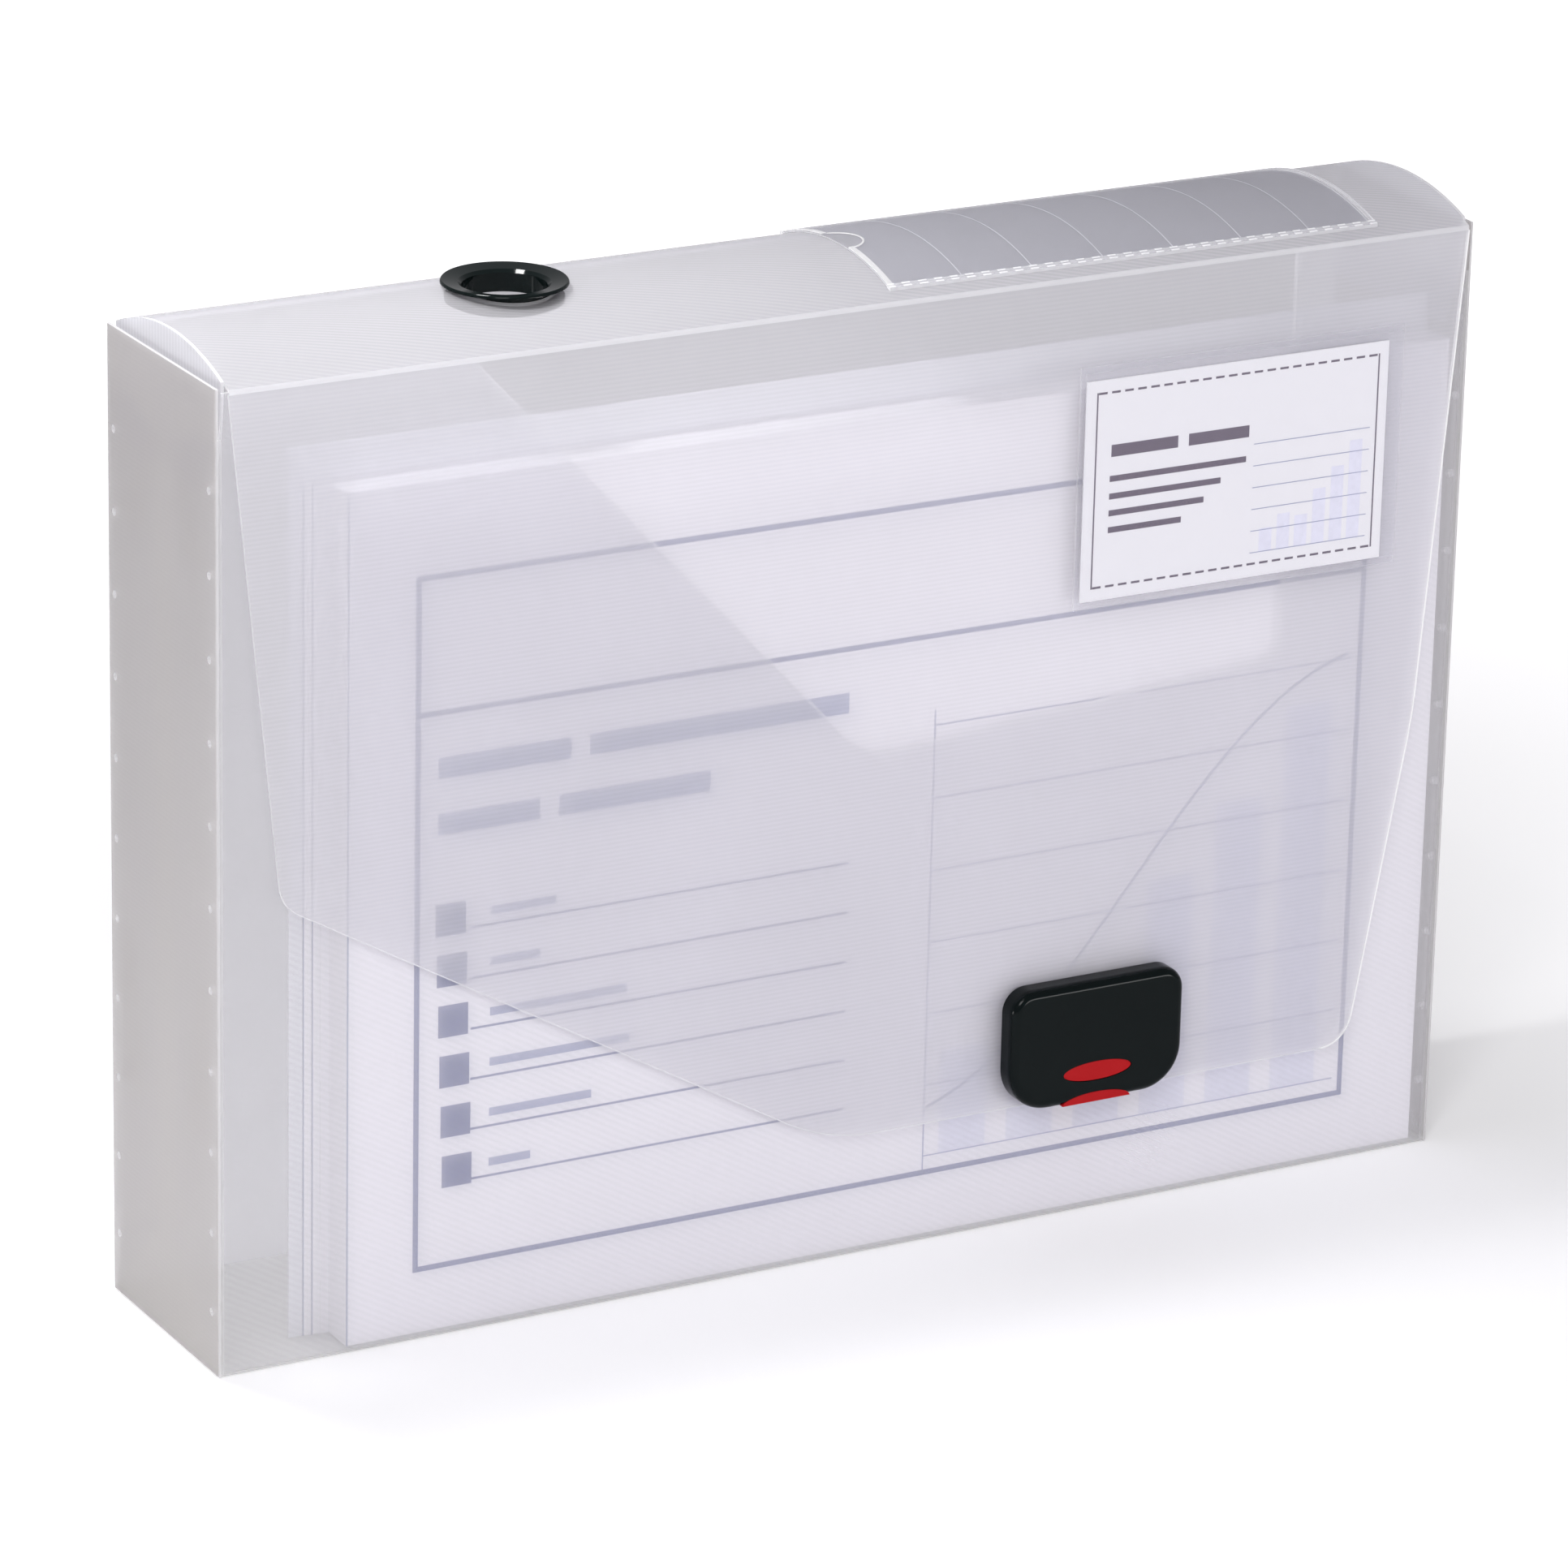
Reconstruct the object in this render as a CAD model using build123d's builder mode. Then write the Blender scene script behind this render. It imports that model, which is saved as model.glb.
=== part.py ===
"""Document box in translucent plastic sheet, standing on its long side.

X runs along the box to the right, the cover faces -Y, and +Z is up.
The origin is the middle of the footprint, on the surface that the box stands on.
All sizes are millimetres.
"""
import os
from math import sqrt

from build123d import *

os.makedirs("parts", exist_ok=True)

# Landscape pages that the box is made for, and the room that it leaves beside and above them
PAGE_WIDTH = 297.0
PAGE_HEIGHT = 210.0
SIDE_ROOM = 38.0
HEAD_ROOM = 30.0

# Overall size and the sheet that everything is folded from
BOX_WIDTH = PAGE_WIDTH + SIDE_ROOM
BOX_DEPTH = 61.0
BOX_HEIGHT = PAGE_HEIGHT + HEAD_ROOM
SHEET = 0.8
FOLD_ROUND = 0.6
SPINE_CROWN = 6.5

# Clearances
MOVE_GAP = 0.3
COVER_GAP = 1.2
INSERT_GAP = 0.15
PLUG_GAP = 0.05

# Flaps that join the end panels to the walls
GLUE_FLAP_WIDTH = 24.5
GLUE_FLAP_TOP_DROP = 18.0
WELD_RADIUS = 0.9
WELD_PITCH = 20.0
WELD_COUNT = 11
WELD_FIRST_HEIGHT = 15.5
WELD_EDGE = 3.5
WELD_PROUD = 0.15

# Tuck flaps that hang from the ends of the spine
TUCK_DROP = 27.0

# Cut-out in the front wall, for reaching the papers
CUTOUT_FROM_LEFT = 64.5
CUTOUT_FROM_RIGHT = 50.5
CUTOUT_SLOPE_LENGTH = 105.0
CUTOUT_VALLEY_DROP = 112.5
CUTOUT_RIGHT_DROP = 103.5
CUTOUT_VALLEY_ROUND = 18.0
CUTOUT_CORNER_ROUND = 5.0

# Outline of the cover flap
COVER_TOP_INSET = 0.6
COVER_SHOULDER_INSET = 15.5
COVER_SHOULDER_DROP = 125.0
COVER_SHOULDER_ROUND = 9.0
COVER_SWEEP_FROM_LEFT = 160.5
COVER_SWEEP_ROUND = 50.0
COVER_LOWER_EDGE = 31.5
COVER_TOE_INSET = 27.0
COVER_TOE_ROUND = 9.0
COVER_KNEE_INSET = 12.0
COVER_KNEE_DROP = 124.0
COVER_KNEE_ROUND = 90.0

# Finger ring in the spine
RING_FROM_LEFT = 86.5
RING_FLANGE_RADIUS = 15.0
RING_BORE_RADIUS = 10.0
RING_WALL = 1.7
RING_SEAT_RADIUS = 13.0
RING_FLANGE_THICKNESS = 0.75
RING_LIP_HEIGHT = 1.45
RING_BARREL_DROP = 4.5
RING_COLLAR_RADIUS = 14.0
RING_COLLAR_THICKNESS = 1.2

# Label and its pocket on the spine
LABEL_FROM_RIGHT = 28.5
LABEL_LENGTH = 133.0
LABEL_WIDTH = 50.0
LABEL_THICKNESS = 0.25
FILM = 0.2
WELD_STRIP = 1.6
THUMB_NOTCH_RADIUS = 6.5

# Business card and its pocket on the cover
CARD_FROM_RIGHT = 24.5
CARD_FROM_TOP = 26.0
CARD_WIDTH = 85.0
CARD_HEIGHT = 55.0
CARD_THICKNESS = 0.3
CARD_POCKET_OVERHANG = 4.0
CARD_POCKET_HEADROOM = 2.0

# Clasp on the cover's lower edge
CLASP_FROM_RIGHT = 102.6
CLASP_WIDTH = 48.7
CLASP_HEIGHT = 31.4
CLASP_THICKNESS = 5.5
CLASP_WALL = 1.2
CLASP_TOP_ROUND = 6.0
CLASP_BOTTOM_ROUND = 11.0
CLASP_FACE_ROUND = 2.2
OVAL_WIDTH = 19.0
OVAL_HEIGHT = 4.8
OVAL_RISE = 8.1
LIP_HEIGHT = 2.5
LATCH_TRAVEL = 1.0
LATCH_PLATE_WIDTH = 26.0
LATCH_PLATE_HEIGHT = 11.0
LATCH_PLATE_THICKNESS = 1.4
LATCH_FACE_RECESS = 0.15
LATCH_TOOTH_WIDTH = 8.0
SPRING_WIDTH = 3.0
SPRING_LENGTH = 9.0
SPRING_THICKNESS = 0.3
SPRING_RISE = 0.7

# Catch on the front wall, behind the clasp
CATCH_WIDTH = 24.0
CATCH_HEIGHT = 12.0
CATCH_THICKNESS = 1.0
CATCH_RISE = 21.5
CATCH_ROUND = 2.0
STUD_WIDTH = 10.0
STUD_HEIGHT = 5.0
STUD_LENGTH = 3.6
PIN_RADIUS = 1.5
BACKING_THICKNESS = 0.8
BACKING_WIDTH = 42.0
BACKING_HEIGHT = 18.5
BACKING_PIN_SPACING = 35.0
CATCH_PIN_SPACING = 17.0
WINDOW_MARGIN = 1.0

# Papers inside
PAGE_THICKNESS = 0.3
REPORT_THICKNESS = 9.0
WALLET_EXTRA_WIDTH = 10.0
WALLET_EXTRA_HEIGHT = 9.0
WALLET_THICKNESS = 0.6
LOOSE_SHEETS = 3
LOOSE_SHEET_STEP = 2.2
PAPER_SIDE_GAP = 2.5
PAPER_FRONT_GAP = 0.4

# Planes and faces that follow from the sizes above
half_width = BOX_WIDTH / 2
half_depth = BOX_DEPTH / 2
cover_front = -half_depth
cover_back = cover_front + SHEET
wall_front = cover_back + COVER_GAP
wall_back = wall_front + SHEET
back_inner = half_depth - SHEET
end_inner = half_width - SHEET
flap_inner = end_inner - SHEET
tuck_outer = flap_inner - MOVE_GAP
tuck_inner = tuck_outer - SHEET
fold_edge = half_depth - MOVE_GAP
panel_top = BOX_HEIGHT - SHEET - MOVE_GAP
ring_x = RING_FROM_LEFT - half_width
label_right = half_width - LABEL_FROM_RIGHT
label_left = label_right - LABEL_LENGTH
card_left = half_width - CARD_FROM_RIGHT - CARD_WIDTH
card_bottom = BOX_HEIGHT - CARD_FROM_TOP - CARD_HEIGHT
clasp_x = half_width - CLASP_FROM_RIGHT
cutout_left = CUTOUT_FROM_LEFT - half_width
cutout_right = half_width - CUTOUT_FROM_RIGHT
glue_flap_top = BOX_HEIGHT - GLUE_FLAP_TOP_DROP
clasp_bottom = COVER_LOWER_EDGE
clasp_middle = clasp_bottom + CLASP_HEIGHT / 2
catch_middle = clasp_bottom + CATCH_RISE

# The spine's outer surface is a cylinder through both top folds
arch_radius = (half_depth**2 + SPINE_CROWN**2) / (2 * SPINE_CROWN)
arch_centre = BOX_HEIGHT + SPINE_CROWN - arch_radius
spine_top = BOX_HEIGHT + SPINE_CROWN


def front_plane(y):
    """Plane that faces -Y at depth y, with its own x and y along the box's X and Z."""
    return Plane.XZ.offset(-y)


def arch_height(y, inset):
    """Height of the surface that lies an inset inside the spine's outer surface, at depth y."""
    return arch_centre + sqrt((arch_radius - inset) ** 2 - y**2)


def arch_strip(lower, upper, half):
    """Section of an arched strip between two heights over the spine's outer surface."""
    with Locations((0, arch_centre)):
        Circle(arch_radius + upper)
        Circle(arch_radius + lower, mode=Mode.SUBTRACT)
    with Locations((0, BOX_HEIGHT)):
        Rectangle(2 * half, 4 * SPINE_CROWN, mode=Mode.INTERSECT)


def finish(builder, label):
    """Names a finished piece and writes it."""
    builder.part.label = label
    export_step(builder.part, f"parts/{label}.step")


# Floor of the box
with BuildPart() as bottom_panel:
    with BuildSketch(Plane.XY):
        with Locations((0, (wall_front + half_depth) / 2)):
            Rectangle(2 * end_inner, half_depth - wall_front)
    extrude(amount=SHEET)
    long_edges = bottom_panel.faces().sort_by(Axis.Z)[0].edges().filter_by(Axis.X)
    fillet(long_edges, radius=FOLD_ROUND)
finish(bottom_panel, "bottom_panel")

# Back panel, up to the fold that the spine turns on
with BuildPart() as back_panel:
    with BuildSketch(front_plane(half_depth)):
        with Locations((0, (SHEET + panel_top) / 2)):
            Rectangle(2 * flap_inner, panel_top - SHEET)
    extrude(amount=SHEET)
finish(back_panel, "back_panel")

# Front wall with its sloping cut-out and two holes for the catch's pins
with BuildPart() as front_wall:
    with BuildSketch(front_plane(wall_back)):
        with BuildLine():
            Polyline(
                (cutout_left, panel_top),
                (-flap_inner, panel_top),
                (-flap_inner, SHEET),
                (flap_inner, SHEET),
                (flap_inner, panel_top),
                (cutout_right, panel_top),
            )
            FilletPolyline(
                (cutout_right, panel_top),
                (cutout_right, BOX_HEIGHT - CUTOUT_RIGHT_DROP),
                (cutout_left + CUTOUT_SLOPE_LENGTH, BOX_HEIGHT - CUTOUT_VALLEY_DROP),
                (cutout_left, panel_top),
                radius=[CUTOUT_CORNER_ROUND, CUTOUT_VALLEY_ROUND],
            )
        make_face()
        with Locations((clasp_x, catch_middle)):
            with GridLocations(CATCH_PIN_SPACING, 1, 2, 1):
                Circle(PIN_RADIUS + PLUG_GAP, mode=Mode.SUBTRACT)
    extrude(amount=SHEET)
finish(front_wall, "front_wall")

# End panels, the glue flaps behind them and the weld plugs that join them
weld_front = wall_front + WELD_EDGE
weld_back = half_depth - WELD_EDGE
weld_middle = WELD_FIRST_HEIGHT + WELD_PITCH * (WELD_COUNT - 1) / 2
for side, sign in (("left", -1), ("right", 1)):
    with BuildPart() as end_panel:
        with BuildSketch(Plane.YZ.offset(sign * half_width)):
            with Locations(((wall_front + half_depth) / 2, BOX_HEIGHT / 2)):
                Rectangle(half_depth - wall_front, BOX_HEIGHT)
            with Locations(((weld_front + weld_back) / 2, weld_middle)):
                with GridLocations(weld_back - weld_front, WELD_PITCH, 2, WELD_COUNT):
                    Circle(WELD_RADIUS + PLUG_GAP, mode=Mode.SUBTRACT)
        extrude(amount=-sign * SHEET)
        outer_face = end_panel.faces().filter_by(Axis.X).sort_by(Axis.X)[-1 if sign > 0 else 0]
        upright = outer_face.edges().filter_by(Axis.Z)
        base = outer_face.edges().filter_by(Axis.Y).sort_by(Axis.Z)[0]
        fillet(upright + ShapeList([base]), radius=FOLD_ROUND)
    finish(end_panel, f"{side}_end_panel")

    for place, fold, direction, weld_line in (
        ("front", wall_front, 1, weld_front),
        ("back", half_depth, -1, weld_back),
    ):
        free_edge = fold + direction * GLUE_FLAP_WIDTH
        with BuildPart() as glue_flap:
            with BuildSketch(Plane.YZ.offset(sign * end_inner)):
                with BuildLine():
                    Polyline(
                        (fold, SHEET),
                        (free_edge, SHEET + GLUE_FLAP_WIDTH),
                        (free_edge, glue_flap_top),
                        (fold, glue_flap_top + GLUE_FLAP_WIDTH / 4),
                        close=True,
                    )
                make_face()
                with Locations((weld_line, weld_middle)):
                    with GridLocations(1, WELD_PITCH, 1, WELD_COUNT):
                        Circle(WELD_RADIUS + PLUG_GAP, mode=Mode.SUBTRACT)
            extrude(amount=-sign * SHEET)
        finish(glue_flap, f"{side}_{place}_glue_flap")

    with BuildPart() as weld_plugs:
        with BuildSketch(Plane.YZ.offset(sign * (half_width + WELD_PROUD))):
            with Locations(((weld_front + weld_back) / 2, weld_middle)):
                with GridLocations(weld_back - weld_front, WELD_PITCH, 2, WELD_COUNT):
                    Circle(WELD_RADIUS)
        extrude(amount=-sign * (WELD_PROUD + 2 * SHEET))
    finish(weld_plugs, f"{side}_weld_plugs")

# Arched spine, with the hole for the finger ring
with BuildPart() as spine_panel:
    with BuildSketch(Plane.YZ.offset(-tuck_inner)):
        arch_strip(-SHEET, 0, fold_edge)
    extrude(amount=2 * tuck_inner)
    with BuildSketch(Plane.XY.offset(BOX_HEIGHT)):
        with Locations((ring_x, 0)):
            Circle(RING_BORE_RADIUS + RING_WALL + MOVE_GAP)
    extrude(amount=2 * SPINE_CROWN, mode=Mode.SUBTRACT)
finish(spine_panel, "spine_panel")

# Tuck flaps: their front edge is an arc about the back fold, so that they swing past the front wall
tuck_reach = half_depth - wall_back - MOVE_GAP
for side, sign in (("left", -1), ("right", 1)):
    with BuildPart() as tuck_flap:
        with BuildSketch(Plane.YZ.offset(sign * tuck_outer)):
            with Locations((half_depth, BOX_HEIGHT)):
                Circle(tuck_reach)
            with Locations((0, arch_centre)):
                Circle(arch_radius, mode=Mode.INTERSECT)
            with Locations((back_inner - MOVE_GAP, BOX_HEIGHT - TUCK_DROP)):
                Rectangle(
                    BOX_DEPTH,
                    TUCK_DROP + 2 * SPINE_CROWN,
                    align=(Align.MAX, Align.MIN),
                    mode=Mode.INTERSECT,
                )
        extrude(amount=-sign * SHEET)
    finish(tuck_flap, f"{side}_tuck_flap")

# Finger ring: a dished flange, whose rim stands clear of the spine, on a barrel that passes through it
ring_seat = spine_top + PLUG_GAP
ring_barrel_radius = RING_BORE_RADIUS + RING_WALL
ring_lip_top = ring_seat + RING_LIP_HEIGHT
ring_rim_bottom = ring_lip_top - RING_FLANGE_THICKNESS
barrel_bottom = ring_seat - RING_BARREL_DROP
with BuildPart() as finger_ring:
    with BuildSketch(Plane.XZ):
        with BuildLine():
            Polyline(
                (RING_FLANGE_RADIUS - RING_FLANGE_THICKNESS / 2, ring_lip_top),
                (RING_BORE_RADIUS + RING_WALL / 2, ring_seat + RING_FLANGE_THICKNESS),
                (RING_BORE_RADIUS, ring_seat),
                (RING_BORE_RADIUS, barrel_bottom),
                (ring_barrel_radius, barrel_bottom),
                (ring_barrel_radius, ring_seat),
                (RING_SEAT_RADIUS, ring_seat),
                (RING_FLANGE_RADIUS, ring_rim_bottom),
            )
            RadiusArc(
                (RING_FLANGE_RADIUS, ring_rim_bottom),
                (RING_FLANGE_RADIUS - RING_FLANGE_THICKNESS / 2, ring_lip_top),
                -RING_FLANGE_THICKNESS,
            )
        make_face()
    revolve(axis=Axis.Z)
finger_ring.part = finger_ring.part.moved(Location((ring_x, 0, 0)))
finish(finger_ring, "finger_ring")

# Collar that locks the finger ring from below
collar_top = arch_height(RING_COLLAR_RADIUS, SHEET) - PLUG_GAP
with BuildPart() as ring_collar:
    with BuildSketch(Plane.XY.offset(collar_top - RING_COLLAR_THICKNESS)):
        with Locations((ring_x, 0)):
            Circle(RING_COLLAR_RADIUS)
            Circle(ring_barrel_radius + PLUG_GAP, mode=Mode.SUBTRACT)
    extrude(amount=RING_COLLAR_THICKNESS)
finish(ring_collar, "ring_collar")

# Label on the spine
label_top = INSERT_GAP + LABEL_THICKNESS
with BuildPart() as spine_label:
    with BuildSketch(Plane.YZ.offset(label_left)):
        arch_strip(INSERT_GAP, label_top, LABEL_WIDTH / 2)
    extrude(amount=LABEL_LENGTH)
finish(spine_label, "spine_label")

# Clear pocket over the label, welded along three sides, with a thumb notch in its open left end
pocket_half = LABEL_WIDTH / 2 + INSERT_GAP + WELD_STRIP
pocket_lower = label_top + INSERT_GAP
pocket_right = label_right + INSERT_GAP + WELD_STRIP
with BuildPart() as label_pocket:
    with BuildSketch(Plane.YZ.offset(label_left)):
        arch_strip(0, pocket_lower + FILM, pocket_half)
    extrude(amount=pocket_right - label_left)
    with BuildSketch(Plane.YZ.offset(label_left)):
        arch_strip(0, pocket_lower, pocket_half - WELD_STRIP)
    extrude(amount=pocket_right - label_left - WELD_STRIP, mode=Mode.SUBTRACT)
    with BuildSketch(Plane.XY.offset(BOX_HEIGHT)):
        with Locations((label_left, 0)):
            Circle(THUMB_NOTCH_RADIUS)
    extrude(amount=2 * SPINE_CROWN, mode=Mode.SUBTRACT)
finish(label_pocket, "label_pocket")

# Cover flap, hanging from the front fold, with holes for the clasp's pins and a window for the catch
window_width = CATCH_WIDTH + 2 * WINDOW_MARGIN
window_height = CATCH_HEIGHT + 2 * WINDOW_MARGIN
with BuildPart() as cover_flap:
    with BuildSketch(front_plane(cover_back)):
        with BuildLine():
            FilletPolyline(
                (tuck_outer - COVER_TOP_INSET, panel_top),
                (half_width - COVER_KNEE_INSET, BOX_HEIGHT - COVER_KNEE_DROP),
                (half_width - COVER_TOE_INSET, COVER_LOWER_EDGE),
                (COVER_SWEEP_FROM_LEFT - half_width, COVER_LOWER_EDGE),
                (COVER_SHOULDER_INSET - half_width, BOX_HEIGHT - COVER_SHOULDER_DROP),
                (COVER_TOP_INSET - tuck_outer, panel_top),
                radius=[COVER_KNEE_ROUND, COVER_TOE_ROUND, COVER_SWEEP_ROUND, COVER_SHOULDER_ROUND],
            )
            Line((COVER_TOP_INSET - tuck_outer, panel_top), (tuck_outer - COVER_TOP_INSET, panel_top))
        make_face()
        with Locations((clasp_x, catch_middle)):
            RectangleRounded(window_width, window_height, CATCH_ROUND, mode=Mode.SUBTRACT)
            with GridLocations(BACKING_PIN_SPACING, 1, 2, 1):
                Circle(PIN_RADIUS + PLUG_GAP, mode=Mode.SUBTRACT)
    extrude(amount=SHEET)
finish(cover_flap, "cover_flap")

# Business card
with BuildPart() as business_card:
    with BuildSketch(front_plane(cover_front - INSERT_GAP)):
        with Locations((card_left, card_bottom)):
            Rectangle(CARD_WIDTH, CARD_HEIGHT, align=(Align.MIN, Align.MIN))
    extrude(amount=CARD_THICKNESS)
finish(business_card, "business_card")

# Clear pocket over the card, open at its right end
card_space = CARD_THICKNESS + 2 * INSERT_GAP
pocket_left = card_left - INSERT_GAP - WELD_STRIP
pocket_bottom = card_bottom - INSERT_GAP - WELD_STRIP
card_pocket_width = WELD_STRIP + INSERT_GAP + CARD_WIDTH + CARD_POCKET_OVERHANG
card_pocket_height = CARD_HEIGHT + INSERT_GAP + CARD_POCKET_HEADROOM + 2 * WELD_STRIP
with BuildPart() as card_pocket:
    with BuildSketch(front_plane(cover_front)):
        with Locations((pocket_left, pocket_bottom)):
            Rectangle(card_pocket_width, card_pocket_height, align=(Align.MIN, Align.MIN))
    extrude(amount=card_space + FILM)
    with BuildSketch(front_plane(cover_front)):
        with Locations((pocket_left + WELD_STRIP, pocket_bottom + WELD_STRIP)):
            Rectangle(
                card_pocket_width - WELD_STRIP,
                card_pocket_height - 2 * WELD_STRIP,
                align=(Align.MIN, Align.MIN),
            )
    extrude(amount=card_space, mode=Mode.SUBTRACT)
finish(card_pocket, "card_pocket")


def clasp_outline(sketch, inset):
    """Outline of the clasp, drawn in by an inset: small round corners above, large ones below."""
    with Locations((clasp_x, clasp_middle)):
        Rectangle(CLASP_WIDTH - 2 * inset, CLASP_HEIGHT - 2 * inset)
    fillet(sketch.vertices().group_by(Axis.Y)[0], radius=CLASP_BOTTOM_ROUND - inset)
    fillet(sketch.vertices().group_by(Axis.Y)[-1], radius=CLASP_TOP_ROUND - inset)


# Clasp housing: a shallow shell with two pin sockets, an oval window and a half-oval notch below
clasp_face = cover_front - CLASP_THICKNESS
cavity_front = clasp_face + CLASP_WALL
latch_front = cavity_front + MOVE_GAP
latch_back = latch_front + LATCH_PLATE_THICKNESS
notch_back = latch_back + LATCH_TRAVEL + MOVE_GAP
oval_height = clasp_bottom + OVAL_RISE
socket_radius = PIN_RADIUS + CLASP_WALL
with BuildPart() as clasp_housing:
    with BuildSketch(front_plane(cover_front)) as outline:
        clasp_outline(outline, 0)
    extrude(amount=CLASP_THICKNESS)
    front_rim = clasp_housing.faces().sort_by(Axis.Y)[0].edges()
    fillet(front_rim, radius=CLASP_FACE_ROUND)
    with BuildSketch(front_plane(cover_front)) as outline:
        clasp_outline(outline, CLASP_WALL)
    extrude(amount=CLASP_THICKNESS - CLASP_WALL, mode=Mode.SUBTRACT)
    with BuildSketch(front_plane(cover_front)):
        with Locations((clasp_x, catch_middle)):
            with GridLocations(BACKING_PIN_SPACING, 1, 2, 1):
                Circle(socket_radius)
                Circle(PIN_RADIUS + PLUG_GAP, mode=Mode.SUBTRACT)
    extrude(amount=CLASP_THICKNESS - CLASP_WALL)
    with BuildSketch(front_plane(latch_front)):
        with Locations((clasp_x, oval_height)):
            Ellipse(OVAL_WIDTH / 2 + INSERT_GAP, OVAL_HEIGHT / 2 + INSERT_GAP)
    extrude(amount=CLASP_THICKNESS, mode=Mode.SUBTRACT)
    with BuildSketch(front_plane(notch_back)):
        with Locations((clasp_x, clasp_bottom)):
            Ellipse(OVAL_WIDTH / 2 + INSERT_GAP, LIP_HEIGHT + INSERT_GAP)
    extrude(amount=CLASP_THICKNESS, mode=Mode.SUBTRACT)
finish(clasp_housing, "clasp_housing")

# Red latch: a plate behind the housing's face, with the oval button and the half-oval lip standing on it
plate_bottom = clasp_bottom + CLASP_WALL + MOVE_GAP
plate_top = plate_bottom + LATCH_PLATE_HEIGHT
stud_bottom = catch_middle - STUD_HEIGHT / 2
button_rise = latch_front - clasp_face - LATCH_FACE_RECESS
with BuildPart() as red_latch:
    with BuildSketch(front_plane(latch_back)):
        with Locations((clasp_x, plate_bottom)):
            Rectangle(LATCH_PLATE_WIDTH, LATCH_PLATE_HEIGHT, align=(Align.CENTER, Align.MIN))
            Rectangle(
                LATCH_TOOTH_WIDTH,
                stud_bottom - MOVE_GAP - plate_bottom,
                align=(Align.CENTER, Align.MIN),
            )
    extrude(amount=LATCH_PLATE_THICKNESS)
    with BuildSketch(front_plane(latch_front)):
        with Locations((clasp_x, oval_height)):
            Ellipse(OVAL_WIDTH / 2, OVAL_HEIGHT / 2)
    extrude(amount=button_rise)
    with BuildSketch(front_plane(latch_back)):
        with Locations((clasp_x, clasp_bottom)):
            Ellipse(OVAL_WIDTH / 2, LIP_HEIGHT)
            Rectangle(OVAL_WIDTH, LIP_HEIGHT, align=(Align.CENTER, Align.MIN), mode=Mode.INTERSECT)
    extrude(amount=LATCH_PLATE_THICKNESS + button_rise)
finish(red_latch, "red_latch")

# Bowed leaf springs on the cover, one under each end of the latch plate
spring_middle = (plate_bottom + plate_top) / 2
spring_foot = cover_front - PLUG_GAP - SPRING_THICKNESS / 2
spring_inset = (LATCH_PLATE_WIDTH - SPRING_WIDTH) / 2
with BuildPart() as latch_springs:
    for spring_x in (clasp_x - spring_inset, clasp_x + spring_inset):
        with BuildSketch(Plane.YZ.offset(spring_x)):
            with BuildLine():
                ThreePointArc(
                    (spring_foot, spring_middle - SPRING_LENGTH / 2),
                    (spring_foot - SPRING_RISE, spring_middle),
                    (spring_foot, spring_middle + SPRING_LENGTH / 2),
                )
            trace(line_width=SPRING_THICKNESS)
        extrude(amount=SPRING_WIDTH / 2, both=True)
finish(latch_springs, "latch_springs")

# Backing plate behind the cover, whose pins hold the housing
with BuildPart() as clasp_backing:
    with BuildSketch(front_plane(cover_back + BACKING_THICKNESS)):
        with Locations((clasp_x, catch_middle)):
            RectangleRounded(BACKING_WIDTH, BACKING_HEIGHT, CATCH_ROUND)
            RectangleRounded(window_width, window_height, CATCH_ROUND, mode=Mode.SUBTRACT)
    extrude(amount=BACKING_THICKNESS)
    with BuildSketch(front_plane(cover_back)):
        with Locations((clasp_x, catch_middle)):
            with GridLocations(BACKING_PIN_SPACING, 1, 2, 1):
                Circle(PIN_RADIUS)
    extrude(amount=SHEET + CLASP_THICKNESS - 2 * CLASP_WALL)
finish(clasp_backing, "clasp_backing")

# Catch plate on the front wall, whose stud passes through the cover into the housing
with BuildPart() as catch_plate:
    with BuildSketch(front_plane(wall_front)):
        with Locations((clasp_x, catch_middle)):
            RectangleRounded(CATCH_WIDTH, CATCH_HEIGHT, CATCH_ROUND)
    extrude(amount=CATCH_THICKNESS)
    with BuildSketch(front_plane(cover_front)):
        with Locations((clasp_x, catch_middle)):
            Rectangle(STUD_WIDTH, STUD_HEIGHT)
    extrude(amount=STUD_LENGTH)
    with BuildSketch(front_plane(wall_front - CATCH_THICKNESS)):
        with Locations((clasp_x, catch_middle)):
            Rectangle(STUD_WIDTH, STUD_HEIGHT)
    extrude(amount=wall_front - CATCH_THICKNESS - cover_front)
    tip = catch_plate.faces().sort_by(Axis.Y)[0].edges()
    chamfer(tip, length=STUD_HEIGHT / 8)
    with BuildSketch(front_plane(wall_back)):
        with Locations((clasp_x, catch_middle)):
            with GridLocations(CATCH_PIN_SPACING, 1, 2, 1):
                Circle(PIN_RADIUS)
    extrude(amount=SHEET)
finish(catch_plate, "catch_plate")

# Backing plate of the catch, inside the front wall
with BuildPart() as catch_backing:
    with BuildSketch(front_plane(wall_back + BACKING_THICKNESS)):
        with Locations((clasp_x, catch_middle)):
            RectangleRounded(CATCH_WIDTH, CATCH_HEIGHT, CATCH_ROUND)
    extrude(amount=BACKING_THICKNESS)
finish(catch_backing, "catch_backing")

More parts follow.
